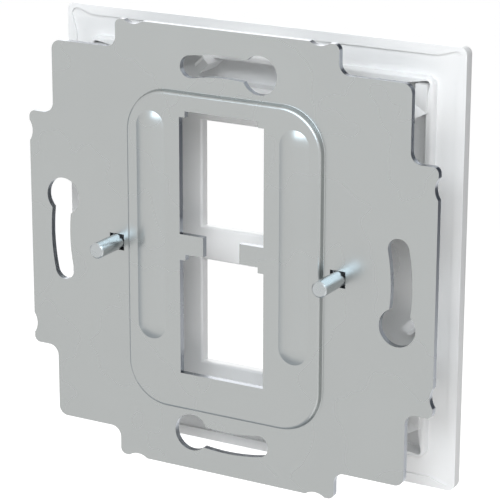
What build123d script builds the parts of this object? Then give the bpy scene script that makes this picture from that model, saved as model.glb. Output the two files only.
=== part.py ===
"""Two-way data outlet faceplate for a 60 mm round wall box.

A pressed steel support plate lies against the wall and carries the jacks. A moulded
cover stands in front of it on two posts, and two countersunk screws hold both together.

Frame: the origin is the centre of the support plate's back face, which lies on the wall.
The cover faces -Y, +Z is up, and depth is counted from the wall towards the front.
"""

from build123d import *
import os

os.makedirs("parts", exist_ok=True)

# Support plate: outline of the stepped cross
slot_to_edge = 5.5
shoulder_setback = 4.5
arm_width = 38.5
sheet = 1.0
arm_corner_radius = 1.0
shoulder_corner_radius = 1.5
inner_corner_radius = 1.7

# Shallow notches near the ends of the arms
notch_spacing = 32.0
notch_radius = 2.8
notch_depth = 0.55

# Curved keyhole slots for the wall box screws
box_screw_circle = 60.0
slot_width = 3.5
slot_half_angle = 11.5
keyhole_diameter = 6.0

# Raised panel in the middle of the sheet, measured at the foot of its steep edge
panel_to_screws = 2.4
panel_to_screw_circle = 4.45
panel_corner_radius = 7.05
panel_rise = 1.0
panel_draft_angle = 14.0
panel_inside_inset = 0.75
panel_crest_radius = 0.5
panel_foot_radius = 0.12

# Stiffening beads on the raised panel
bead_width = 5.0
bead_length = 36.65
bead_spacing = 25.0
bead_centre_height = 3.8
bead_rise = 0.5
bead_wall = 0.8

# Jack openings through the raised panel
jack_width = 14.7
jack_height = 19.45
jack_pitch = 22.6
jack_centre_height = 1.7
jack_notch = 1.0
bridge_gap = 6.4

# Fixing screws between cover and support plate
screw_spacing = 38.9
screw_diameter = 2.5
screw_protrusion = 6.0
screw_tip_chamfer = 0.2
screw_head_diameter = 4.8
screw_head_angle = 90
screw_head_sink = 0.1
screw_slot_width = 0.7
screw_slot_depth = 0.6
screw_clearance = 0.15
square_hole = 2.6

# Cover: outer form
cover_size = 69.5
cover_rim_depth = 10.35
cover_thickness = 3.35
cover_corner_radius = 1.2
cover_edge_radius = 2.0
cover_skin = 1.7

# Cover: rim, flange and ridge on the back
rim_width = 1.55
rim_step = 0.35
rim_flare = 1.4
rim_flare_radius = 1.05
ridge_size = 60.0
ridge_wall = 1.1
ridge_height = 1.4
ridge_corner_radius = 1.4
ridge_edge_radius = 0.5
ridge_flare = 0.6
ridge_flare_radius = 0.5
flare_run = 3.0

# Cover: window box and its two windows
box_width = 26.0
box_height = 50.0
box_wall = 1.7
box_corner_radius = 1.5
window_width = 19.0
window_height = 17.15
window_centre_height = -1.1
window_edge_radius = 0.4

# Cover: screw posts, locating pegs and corner blocks
post_diameter = 6.4
post_foot_diameter = 8.8
post_foot_height = 0.4
peg_length = 2.1
peg_width = 1.7
peg_height = 5.1
peg_near = 8.2
peg_far = 28.2
peg_bevel = 0.5
block_inner_face = 27.3
block_upper_start = 23.7
block_lower_start = -25.9
block_length = 5.2
block_height = 3.2
block_end_slope = 0.9
block_lip_length = 2.1
block_lip_height = 1.0

# Derived places, counted as depth from the wall towards the front
cover_front_depth = cover_rim_depth + cover_thickness
cover_floor_depth = cover_front_depth - cover_skin
flange_depth = cover_rim_depth + rim_step
ridge_top_depth = flange_depth - ridge_height
box_front_depth = ridge_top_depth + box_wall

# Derived sizes
plate_size = box_screw_circle + 2 * slot_to_edge
panel_width = screw_spacing - 2 * panel_to_screws
panel_height = box_screw_circle - 2 * panel_to_screw_circle
shoulder_size = plate_size - 2 * shoulder_setback
rim_inner = cover_size / 2 - rim_width
ridge_inner = ridge_size / 2 - ridge_wall
head_radius = screw_head_diameter / 2
shaft_radius = screw_diameter / 2


def depth_plane(depth):
    """A plane parallel to the wall: local x is +X, local y is up, its normal points to the front."""
    return Plane.XZ.offset(depth)


def flared_square(half, flare):
    """Corner points of a square whose four corners reach out further than its sides."""
    tip = half + flare
    corner = [(half - flare_run, half), (tip, tip), (half, half - flare_run)]
    points = []
    for quarter in range(4):
        points += corner
        corner = [(y, -x) for x, y in corner]
    return points


def corners_at(sketch, near, far):
    """The sketch's corners that lie at near and far from its two centre lines, either way round."""
    corners = []
    for vertex in sketch.vertices():
        low, high = sorted((abs(vertex.X), abs(vertex.Y)))
        if abs(low - near) < 0.001 and abs(high - far) < 0.001:
            corners.append(vertex)
    return corners


def domed_bead(width, length, rise):
    """A long bead along Z with a round back and round ends. It stands up to y = rise."""
    straight = length - width
    back_radius = (rise**2 + (width / 2) ** 2) / (2 * rise)
    back_centre = rise - back_radius
    with BuildPart() as bead:
        with Locations((0, back_centre, 0)):
            Cylinder(back_radius, straight)
        with Locations((0, back_centre, -straight / 2), (0, back_centre, straight / 2)):
            Sphere(back_radius)
        with BuildSketch(depth_plane(0)):
            SlotOverall(length, width, rotation=90)
        extrude(amount=-rise, mode=Mode.INTERSECT)
    return bead.part


def bead_places(height):
    """The two beads' places, with their feet at that height above the sheet's back."""
    return [(side * bead_spacing / 2, height, bead_centre_height) for side in (-1, 1)]


bead_outside = domed_bead(bead_width, bead_length, bead_rise)
bead_inside = domed_bead(bead_width - 2 * bead_wall, bead_length - 2 * bead_wall, bead_rise)

# Support plate: cross, notches, keyhole slots, raised panel, beads and openings
with BuildPart() as support_plate:
    with BuildSketch(depth_plane(0)) as cross:
        Rectangle(shoulder_size, shoulder_size)
        Rectangle(plate_size, arm_width)
        Rectangle(arm_width, plate_size)
        fillet(corners_at(cross, arm_width / 2, shoulder_size / 2), inner_corner_radius)
        fillet(corners_at(cross, shoulder_size / 2, shoulder_size / 2), shoulder_corner_radius)
        fillet(corners_at(cross, arm_width / 2, plate_size / 2), arm_corner_radius)
        notch_centre = plate_size / 2 - notch_depth + notch_radius
        for side in (-notch_centre, notch_centre):
            for along in (-notch_spacing / 2, notch_spacing / 2):
                with Locations((along, side), (side, along)):
                    Circle(notch_radius, mode=Mode.SUBTRACT)
        for slot_angle in (0, 90, 180, 270):
            slot_start = slot_angle - slot_half_angle
            slot_line = CenterArc((0, 0), box_screw_circle / 2, slot_start, 2 * slot_half_angle)
            SlotArc(slot_line, slot_width, mode=Mode.SUBTRACT)
        with PolarLocations(box_screw_circle / 2, 4, start_angle=slot_half_angle):
            Circle(keyhole_diameter / 2, mode=Mode.SUBTRACT)
        with GridLocations(screw_spacing, 0, 2, 1):
            Rectangle(square_hole, square_hole, mode=Mode.SUBTRACT)
    extrude(amount=sheet)

    with BuildSketch(depth_plane(0)):
        RectangleRounded(panel_width, panel_height, panel_corner_radius)
    extrude(amount=-panel_rise, taper=panel_draft_angle)
    foot_edges = (
        support_plate.edges()
        .filter_by_position(Axis.Y, -0.01, 0.01)
        .filter_by_position(Axis.X, -panel_width / 2 - 0.01, panel_width / 2 + 0.01)
        .filter_by_position(Axis.Z, -panel_height / 2 - 0.01, panel_height / 2 + 0.01)
    )
    fillet(foot_edges, panel_foot_radius)
    crest_edges = support_plate.edges().filter_by_position(Axis.Y, panel_rise - 0.01, panel_rise + 0.01)
    fillet(crest_edges, panel_crest_radius)

    with Locations(*bead_places(panel_rise)):
        add(bead_outside)

    with BuildSketch(depth_plane(sheet)):
        RectangleRounded(
            panel_width - 2 * panel_inside_inset,
            panel_height - 2 * panel_inside_inset,
            panel_corner_radius - panel_inside_inset,
        )
    extrude(amount=-panel_rise, taper=panel_draft_angle, mode=Mode.SUBTRACT)
    with Locations(*bead_places(panel_rise - sheet)):
        add(bead_inside, mode=Mode.SUBTRACT)

    with BuildSketch(depth_plane(sheet)):
        for height in (jack_centre_height - jack_pitch / 2, jack_centre_height + jack_pitch / 2):
            with Locations((0, height - jack_notch / 2)):
                Rectangle(jack_width, jack_height - jack_notch)
            with Locations((0, height)):
                Rectangle(jack_width - 2 * jack_notch, jack_height)
        with Locations((0, jack_centre_height)):
            Rectangle(bridge_gap, jack_pitch)
    extrude(amount=-(sheet + panel_rise), mode=Mode.SUBTRACT)

# Locating peg of the upper right quarter: a small block turned by 45 degrees, bevelled outwards
with BuildPart() as peg:
    with BuildSketch(depth_plane(cover_floor_depth)):
        Rectangle(peg_length, peg_width, rotation=-45)
    extrude(amount=-peg_height)
    top_edges = peg.faces().sort_by(Axis.Y)[-1].edges()
    chamfer(top_edges.sort_by(Axis((0, 0, 0), (1, 0, 1)))[-1], peg_bevel)

# Each quarter of the cover has two pegs
with BuildPart() as peg_pair:
    with Locations((peg_near, 0, peg_far), (peg_far, 0, peg_near)):
        add(peg.part)

quarter_turns = []
for quarter in range(4):
    quarter_turns.append(Location((0, 0, 0), (0, 90 * quarter, 0)))

# Lip on a corner block: a three-sided wedge whose slope faces up and outwards
block_reach = ridge_inner + ridge_wall / 4
block_top = block_height - cover_floor_depth
lip_upper = Vector(block_inner_face, block_top, block_lip_length)
lip_outer = Vector(block_reach, block_top, block_end_slope)
lip_tip = Vector(block_inner_face, block_top + block_lip_height, 0)
slope_normal = (lip_outer - lip_upper).cross(lip_tip - lip_upper)
with BuildPart() as block_lip:
    with BuildSketch(depth_plane(-block_top)):
        Polygon(
            (block_inner_face, 0),
            (block_reach, block_end_slope),
            (block_inner_face, block_lip_length),
            align=None,
        )
    extrude(amount=-block_lip_height)
    split(bisect_by=Plane(lip_upper, z_dir=slope_normal), keep=Keep.BOTTOM)

# Corner blocks: a left and a right one against the ridge's inside, each with a lip at its lower end
with BuildPart() as block_pair:
    with BuildSketch(depth_plane(cover_floor_depth)):
        for side in (-1, 1):
            Polygon(
                (side * block_inner_face, 0),
                (side * block_reach, block_end_slope),
                (side * block_reach, block_length),
                (side * block_inner_face, block_length),
                align=None,
            )
    extrude(amount=-block_height)
    add(block_lip.part)
    add(mirror(block_lip.part, Plane.YZ, mode=Mode.PRIVATE))

# Cover: one hollow moulding with a ridge, a window box, posts, pegs and blocks on its back
with BuildPart() as faceplate:
    with BuildSketch(depth_plane(cover_rim_depth)):
        Rectangle(cover_size, cover_size)
    extrude(amount=cover_thickness)
    front_edges = faceplate.faces().sort_by(Axis.Y)[0].edges()
    fillet(front_edges, cover_edge_radius)
    corner_edges = faceplate.edges().filter_by(Axis.Y)
    fillet(corner_edges, cover_corner_radius)

    with BuildSketch(depth_plane(cover_rim_depth)) as flange:
        Polygon(*flared_square(rim_inner, rim_flare), align=None)
        fillet(flange.vertices().sort_by_distance((0, 0))[-4:], rim_flare_radius)
    extrude(amount=rim_step, mode=Mode.SUBTRACT)

    with BuildSketch(depth_plane(flange_depth)):
        RectangleRounded(ridge_size, ridge_size, ridge_corner_radius)
    extrude(amount=-ridge_height)
    fillet(faceplate.faces().sort_by(Axis.Y)[-1].edges(), ridge_edge_radius)

    with BuildSketch(depth_plane(ridge_top_depth)) as hollow:
        Polygon(*flared_square(ridge_inner, ridge_flare), align=None)
        fillet(hollow.vertices().sort_by_distance((0, 0))[-4:], ridge_flare_radius)
    extrude(amount=cover_floor_depth - ridge_top_depth, mode=Mode.SUBTRACT)

    with BuildSketch(depth_plane(ridge_top_depth)):
        RectangleRounded(box_width, box_height, box_corner_radius)
    extrude(amount=cover_floor_depth - ridge_top_depth)
    with BuildSketch(depth_plane(cover_front_depth)):
        RectangleRounded(box_width - 2 * box_wall, box_height - 2 * box_wall, box_corner_radius / 2)
    extrude(amount=-(cover_front_depth - box_front_depth), mode=Mode.SUBTRACT)
    with BuildSketch(depth_plane(ridge_top_depth)):
        with Locations((0, window_centre_height)):
            with GridLocations(0, jack_pitch, 1, 2):
                Rectangle(window_width, window_height)
    extrude(amount=box_wall, mode=Mode.SUBTRACT)
    window_edges = (
        faceplate.edges()
        .filter_by_position(Axis.Y, -ridge_top_depth - 0.01, -ridge_top_depth + 0.01)
        .filter_by_position(Axis.X, -window_width / 2 - 0.01, window_width / 2 + 0.01)
        .filter_by_position(Axis.Z, -box_height / 2 + 0.01, box_height / 2 - 0.01)
    )
    fillet(window_edges, window_edge_radius)

    with BuildSketch(depth_plane(cover_floor_depth - post_foot_height)):
        with GridLocations(screw_spacing, 0, 2, 1):
            Circle(post_foot_diameter / 2)
    extrude(amount=post_foot_height)
    with BuildSketch(depth_plane(sheet)):
        with GridLocations(screw_spacing, 0, 2, 1):
            Circle(post_diameter / 2)
    extrude(amount=cover_floor_depth - sheet)

    with Locations(*quarter_turns):
        add(peg_pair.part)
    with Locations((0, 0, block_upper_start), (0, 0, block_lower_start)):
        add(block_pair.part)

    with Locations(depth_plane(cover_front_depth)):
        with GridLocations(screw_spacing, 0, 2, 1):
            CounterSinkHole(
                radius=shaft_radius + screw_clearance,
                counter_sink_radius=head_radius + screw_head_sink,
                counter_sink_angle=screw_head_angle,
            )

# Countersunk screw, slotted head to the front, plain shank through the support plate
screw_head_depth = cover_front_depth - screw_head_sink
screw_cone_depth = screw_head_depth - (head_radius - shaft_radius)
with BuildPart() as screw_right:
    with BuildSketch(Plane.XY) as profile:
        with Locations((screw_spacing / 2, 0)):
            Polygon(
                (0, screw_protrusion),
                (shaft_radius - screw_tip_chamfer, screw_protrusion),
                (shaft_radius, screw_protrusion - screw_tip_chamfer),
                (shaft_radius, -screw_cone_depth),
                (head_radius, -screw_head_depth),
                (0, -screw_head_depth),
                align=None,
            )
    revolve(axis=Axis((screw_spacing / 2, 0, 0), (0, 1, 0)))
    with BuildSketch(depth_plane(screw_head_depth)):
        with Locations((screw_spacing / 2, 0)):
            Rectangle(screw_slot_width, screw_head_diameter, rotation=35)
    extrude(amount=-screw_slot_depth, mode=Mode.SUBTRACT)

with BuildPart() as screw_left:
    with Locations((-screw_spacing, 0, 0)):
        add(screw_right.part)

support_plate.part.label = "support_plate"
faceplate.part.label = "faceplate"
screw_left.part.label = "screw_left"
screw_right.part.label = "screw_right"

export_step(support_plate.part, "parts/support_plate.step")
export_step(faceplate.part, "parts/faceplate.step")
export_step(screw_left.part, "parts/screw_left.step")
export_step(screw_right.part, "parts/screw_right.step")
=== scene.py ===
"""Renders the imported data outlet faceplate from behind, as the photograph shows it."""
import math
import bpy
from mathutils import Matrix, Vector

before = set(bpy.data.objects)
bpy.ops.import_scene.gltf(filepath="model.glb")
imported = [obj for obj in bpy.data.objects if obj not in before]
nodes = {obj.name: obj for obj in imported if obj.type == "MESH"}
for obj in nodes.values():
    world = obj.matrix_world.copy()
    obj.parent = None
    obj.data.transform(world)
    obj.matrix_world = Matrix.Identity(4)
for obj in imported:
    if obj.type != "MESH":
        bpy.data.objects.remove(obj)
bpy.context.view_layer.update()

# Shared helpers for node trees

# Nearly all of a noise pattern lies between these two values
pattern_low = 0.3
pattern_high = 0.7

# The Mix node's colour sockets by number, because its sockets for other data have the same names
mix_first_colour = 6
mix_second_colour = 7
mix_result_colour = 2


def new_material(name):
    """A material with a plain shader linked to its output."""
    material = bpy.data.materials.new(name)
    material.use_nodes = True
    tree = material.node_tree
    tree.nodes.clear()
    output = tree.nodes.new("ShaderNodeOutputMaterial")
    shader = tree.nodes.new("ShaderNodeBsdfPrincipled")
    tree.links.new(shader.outputs["BSDF"], output.inputs["Surface"])
    return material, tree, shader


def object_space(tree):
    """Places of the surface in the object's own space, in metres."""
    return tree.nodes.new("ShaderNodeTexCoord").outputs["Object"]


def noise(tree, vector, scale, detail, roughness=0.5, stretch=None):
    """A noise pattern over the given places. stretch squeezes or draws it out along X, Y and Z."""
    if stretch is not None:
        mapping = tree.nodes.new("ShaderNodeMapping")
        mapping.inputs["Scale"].default_value = stretch
        tree.links.new(vector, mapping.inputs["Vector"])
        vector = mapping.outputs["Vector"]
    texture = tree.nodes.new("ShaderNodeTexNoise")
    texture.inputs["Scale"].default_value = scale
    texture.inputs["Detail"].default_value = detail
    texture.inputs["Roughness"].default_value = roughness
    tree.links.new(vector, texture.inputs["Vector"])
    return texture.outputs["Fac"]


def map_range(tree, value, low, high, from_low=pattern_low, from_high=pattern_high):
    """Maps a value from one range to another. Unless told otherwise, the first is a pattern's."""
    node = tree.nodes.new("ShaderNodeMapRange")
    node.inputs["From Min"].default_value = from_low
    node.inputs["From Max"].default_value = from_high
    node.inputs["To Min"].default_value = low
    node.inputs["To Max"].default_value = high
    tree.links.new(value, node.inputs["Value"])
    return node.outputs["Result"]


def colour_between(tree, pattern, first, second):
    """A colour that goes from first to second with the pattern."""
    ramp = tree.nodes.new("ShaderNodeValToRGB")
    ramp.color_ramp.elements[0].position = pattern_low
    ramp.color_ramp.elements[0].color = (*first, 1)
    ramp.color_ramp.elements[1].position = pattern_high
    ramp.color_ramp.elements[1].color = (*second, 1)
    tree.links.new(pattern, ramp.inputs["Fac"])
    return ramp.outputs["Color"]


def mix_colour(tree, amount, colour, other):
    """The linked colour where the amount is 0, and the other one where it is 1."""
    node = tree.nodes.new("ShaderNodeMix")
    node.data_type = "RGBA"
    tree.links.new(amount, node.inputs["Factor"])
    tree.links.new(colour, node.inputs[mix_first_colour])
    node.inputs[mix_second_colour].default_value = (*other, 1)
    return node.outputs[mix_result_colour]


def bump(tree, height, strength, distance):
    """A surface that the pattern raises and lowers by up to that distance, in metres."""
    node = tree.nodes.new("ShaderNodeBump")
    node.inputs["Strength"].default_value = strength
    node.inputs["Distance"].default_value = distance
    tree.links.new(height, node.inputs["Height"])
    return node.outputs["Normal"]


# How far a surface's direction leans to the sheet's faces, where a cut edge ends and a slope begins
edge_lean = 0.05
slope_lean = 0.15


def cut_edge(tree):
    """1 on the sheet's cut edges, which stand square to its faces, and 0 on its faces and slopes."""
    split = tree.nodes.new("ShaderNodeSeparateXYZ")
    tree.links.new(tree.nodes.new("ShaderNodeTexCoord").outputs["Normal"], split.inputs["Vector"])
    lean = tree.nodes.new("ShaderNodeMath")
    lean.operation = "ABSOLUTE"
    tree.links.new(split.outputs["Y"], lean.inputs[0])
    return map_range(tree, lean.outputs["Value"], 1.0, 0.0, edge_lean, slope_lean)


# Materials: the colours of each one, and how deep the finest marks on all of them are

sheet_dark = (0.442, 0.457, 0.451)
sheet_light = (0.453, 0.467, 0.461)
# The cut edges' colour: partly the bare sheared steel, partly painted dark reflection
sheared_steel_and_painted_shade = (0.35, 0.37, 0.40)
screw_dark = (0.460, 0.485, 0.490)
screw_light = (0.490, 0.510, 0.515)
plastic_dark = (0.865, 0.865, 0.865)
plastic_light = (0.89, 0.89, 0.888)
metal_mark_depth = 0.00001
plastic_grain_depth = 0.00002
plastic_ior = 1.49


def zinc_sheet():
    """Zinc-plated sheet steel, with a fine rolled grain and faint clouds. Its cut edges are darker and
    bluer, partly the bare sheared steel and partly painted dark reflection.
    """
    material, tree, shader = new_material("zinc_sheet")
    place = object_space(tree)
    clouds = noise(tree, place, 70, 2, 0.5)
    grain = noise(tree, place, 1200, 1, 0.5, (1.0, 1.0, 0.16))
    rolled = colour_between(tree, clouds, sheet_dark, sheet_light)
    # Cut edges get a darker, bluer colour: partly the bare sheared steel, partly painted dark reflection
    tint = mix_colour(tree, cut_edge(tree), rolled, sheared_steel_and_painted_shade)
    tree.links.new(tint, shader.inputs["Base Color"])
    shader.inputs["Metallic"].default_value = 1.0
    tree.links.new(map_range(tree, clouds, 0.26, 0.29), shader.inputs["Roughness"])
    tree.links.new(bump(tree, grain, 0.03, metal_mark_depth), shader.inputs["Normal"])
    return material


def screw_steel():
    """Bright zinc-plated screw steel, with faint turning marks round the shank."""
    material, tree, shader = new_material("screw_steel")
    place = object_space(tree)
    clouds = noise(tree, place, 300, 2, 0.5)
    turned = noise(tree, place, 900, 3, 0.6, (0.25, 6.0, 0.25))
    tint = colour_between(tree, clouds, screw_dark, screw_light)
    tree.links.new(tint, shader.inputs["Base Color"])
    shader.inputs["Metallic"].default_value = 1.0
    tree.links.new(map_range(tree, clouds, 0.26, 0.29), shader.inputs["Roughness"])
    tree.links.new(bump(tree, turned, 0.01, metal_mark_depth), shader.inputs["Normal"])
    return material


def white_plastic():
    """White moulded plastic, with a soft gloss and a very fine moulded grain."""
    material, tree, shader = new_material("white_plastic")
    place = object_space(tree)
    clouds = noise(tree, place, 60, 3, 0.5)
    grain = noise(tree, place, 2600, 3, 0.6)
    tint = colour_between(tree, clouds, plastic_dark, plastic_light)
    tree.links.new(tint, shader.inputs["Base Color"])
    tree.links.new(map_range(tree, grain, 0.28, 0.36), shader.inputs["Roughness"])
    shader.inputs["IOR"].default_value = plastic_ior
    tree.links.new(bump(tree, grain, 0.08, plastic_grain_depth), shader.inputs["Normal"])
    return material


def dress(node_name, material):
    """Gives a CAD node its material."""
    piece = nodes[node_name]
    for slot in piece.material_slots:
        slot.material = material
    if not piece.material_slots:
        piece.data.materials.append(material)


zinc = zinc_sheet()
steel = screw_steel()
plastic = white_plastic()
dress("support_plate", zinc)
dress("faceplate", plastic)
dress("screw_left", steel)
dress("screw_right", steel)

# Studio: a white floor and world for what the camera and the metal see, and plain soft light

room_light = 0.34
background_level = 0.95
floor_half = 3.0
floor_height = -0.30
floor_whiteness = 0.55
stage_roughness = 0.9
card_foot = floor_height + 0.001


def background_ray(tree):
    """1 for the camera, glossy and transmission rays that show the background, 0 for all others."""
    rays = tree.nodes.new("ShaderNodeLightPath")
    camera_or_glossy = tree.nodes.new("ShaderNodeMath")
    camera_or_glossy.operation = "MAXIMUM"
    tree.links.new(rays.outputs["Is Camera Ray"], camera_or_glossy.inputs[0])
    tree.links.new(rays.outputs["Is Glossy Ray"], camera_or_glossy.inputs[1])
    any_of_three = tree.nodes.new("ShaderNodeMath")
    any_of_three.operation = "MAXIMUM"
    tree.links.new(camera_or_glossy.outputs["Value"], any_of_three.inputs[0])
    tree.links.new(rays.outputs["Is Transmission Ray"], any_of_three.inputs[1])
    return any_of_three.outputs["Value"]


def flat_panel(name, corners, material):
    """A flat four-cornered stage piece."""
    mesh = bpy.data.meshes.new(name)
    mesh.from_pydata(corners, [], [(0, 1, 2, 3)])
    mesh.materials.append(material)
    panel = bpy.data.objects.new(name, mesh)
    bpy.context.scene.collection.objects.link(panel)
    return panel


def level_panel(name, near_corner, far_corner, height, material):
    """A flat stage piece that lies level, from one corner's X and Y to the other's."""
    corners = [
        (near_corner[0], near_corner[1], height),
        (far_corner[0], near_corner[1], height),
        (far_corner[0], far_corner[1], height),
        (near_corner[0], far_corner[1], height),
    ]
    return flat_panel(name, corners, material)


# Floor: a pale floor that keeps shadows, lifted to white for the rays that show the background
floor_material, floor_tree, floor_shader = new_material("studio_floor")
floor_shader.inputs["Base Color"].default_value = (floor_whiteness, floor_whiteness, floor_whiteness, 1)
floor_shader.inputs["Roughness"].default_value = stage_roughness
floor_shader.inputs["Emission Color"].default_value = (1, 1, 1, 1)
floor_lift = floor_tree.nodes.new("ShaderNodeMath")
floor_lift.operation = "MULTIPLY"
floor_lift.inputs[1].default_value = background_level - room_light * floor_whiteness
floor_tree.links.new(background_ray(floor_tree), floor_lift.inputs[0])
floor_tree.links.new(floor_lift.outputs["Value"], floor_shader.inputs["Emission Strength"])
level_panel(
    "studio_floor", (-floor_half, -floor_half), (floor_half, floor_half), floor_height, floor_material
)

# World: white where it shows as background, and a softer room light for all other rays
world = bpy.data.worlds.new("studio")
bpy.context.scene.world = world
world.use_nodes = True
sky = world.node_tree
sky.nodes.clear()
room = sky.nodes.new("ShaderNodeBackground")
room.inputs["Color"].default_value = (1, 1, 1, 1)
room.inputs["Strength"].default_value = room_light
white = sky.nodes.new("ShaderNodeBackground")
white.inputs["Color"].default_value = (1, 1, 1, 1)
white.inputs["Strength"].default_value = 1.0
sky_choice = sky.nodes.new("ShaderNodeMixShader")
sky.links.new(background_ray(sky), sky_choice.inputs["Fac"])
sky.links.new(room.outputs["Background"], sky_choice.inputs[1])
sky.links.new(white.outputs["Background"], sky_choice.inputs[2])
sky_output = sky.nodes.new("ShaderNodeOutputWorld")
sky.links.new(sky_choice.outputs["Shader"], sky_output.inputs["Surface"])


def card_material(name, shade):
    """A card's surface, which shows as that shade in any light."""
    material, tree, shader = new_material(name)
    shader.inputs["Base Color"].default_value = (0, 0, 0, 1)
    shader.inputs["Roughness"].default_value = stage_roughness
    shader.inputs["Emission Color"].default_value = (*shade, 1)
    shader.inputs["Emission Strength"].default_value = 1.0
    return material


def for_reflections(card):
    """Only reflections show the card: it lights nothing dull and casts no shadow."""
    card.visible_camera = False
    card.visible_diffuse = False
    card.visible_shadow = False


# A dark card behind the object darkens the sheet's cut edges
for_reflections(
    flat_panel(
        "card_back",
        [(0.04, -0.60, -0.22), (-0.60, -0.60, -0.22), (-0.60, -0.60, 0.75), (0.04, -0.60, 0.75)],
        card_material("card_back", (0.04, 0.05, 0.07)),
    )
)

# Two grey cards, one beside the object and one on the floor, outline its beads
for_reflections(
    flat_panel(
        "card_left",
        [(0.50, -0.25, card_foot), (0.50, 0.22, card_foot), (0.50, 0.22, 0.05), (0.50, -0.25, 0.05)],
        card_material("card_left", (0.50, 0.55, 0.60)),
    )
)
for_reflections(
    level_panel(
        "card_low", (-0.10, -0.15), (0.45, 0.28), card_foot, card_material("card_low", (0.50, 0.54, 0.58))
    )
)

# The metal shows one cool light above it, and an even white over the floor before it
for_reflections(
    flat_panel(
        "card_sky",
        [(-0.70, 0.70, 0.18), (0.33, 0.70, 0.18), (0.33, 0.60, 0.65), (-0.70, 0.60, 0.65)],
        card_material("card_sky", (3.4, 3.95, 4.4)),
    )
)
for_reflections(
    level_panel(
        "card_floor", (-2.00, 0.30), (2.50, 2.90), card_foot, card_material("card_floor", (1.0, 1.0, 1.0))
    )
)

# Lamps: how far each one is from the object
lamp_distance = 0.8


def soft_box(name, azimuth, elevation, width, height, radiance, colour=(1, 1, 1)):
    """A rectangular soft light that looks at the object, as bright all over as that radiance.

    The azimuth and elevation say in degrees where it stands: the azimuth from +Y towards +X.
    """
    turn = math.radians(azimuth)
    rise = math.radians(elevation)
    place = lamp_distance * Vector(
        (math.sin(turn) * math.cos(rise), math.cos(turn) * math.cos(rise), math.sin(rise))
    )
    light = bpy.data.lights.new(name, "AREA")
    light.shape = "RECTANGLE"
    light.size = width
    light.size_y = height
    light.energy = radiance * math.pi * width * height
    light.color = colour
    lamp = bpy.data.objects.new(name, light)
    lamp.location = place
    lamp.rotation_euler = (-place).to_track_quat("-Z", "Y").to_euler()
    lamp.visible_camera = False
    bpy.context.scene.collection.objects.link(lamp)
    return lamp


# Three lamps light the side that the camera sees, and one the cover's front. Reflections show
# the cards instead of these four.
key_light = soft_box("key_light", -25, 37, 0.65, 0.42, radiance=4.6, colour=(0.94, 0.97, 1.0))
fill_light = soft_box("fill_light", 14, 29, 0.55, 0.28, radiance=2.6, colour=(0.88, 0.95, 1.0))
low_light = soft_box("low_light", -20, -10, 0.60, 0.20, radiance=3.2, colour=(1.0, 0.97, 0.94))
front_light = soft_box("front_light", 164, 28, 0.60, 0.40, radiance=4.2)
for lamp in (key_light, fill_light, low_light, front_light):
    lamp.visible_glossy = False

# A small lamp behind the object shows in its top edges
soft_box("back_light", 150, 17, 0.34, 0.20, radiance=1.7)

# Camera: solved from the support plate's corners
camera_place = Vector((-0.17040, 0.29326, 0.10548))
camera_right = Vector((-0.8700, -0.4930, 0.0021))
camera_back = Vector((-0.47083, 0.83217, 0.29293))
camera_up = camera_back.cross(camera_right)
camera_data = bpy.data.cameras.new("photo_camera")
camera_data.sensor_fit = "HORIZONTAL"
camera_data.sensor_width = 36.0
camera_data.lens = 167.55
camera_data.clip_start = 0.01
camera_data.clip_end = 20.0
camera = bpy.data.objects.new("photo_camera", camera_data)
axes = Matrix((camera_right, camera_up, camera_back)).transposed().to_4x4()
camera.matrix_world = Matrix.Translation(camera_place) @ axes
bpy.context.scene.collection.objects.link(camera)
bpy.context.scene.camera = camera
bpy.context.scene.view_settings.view_transform = "Standard"

bpy.context.view_layer.update()
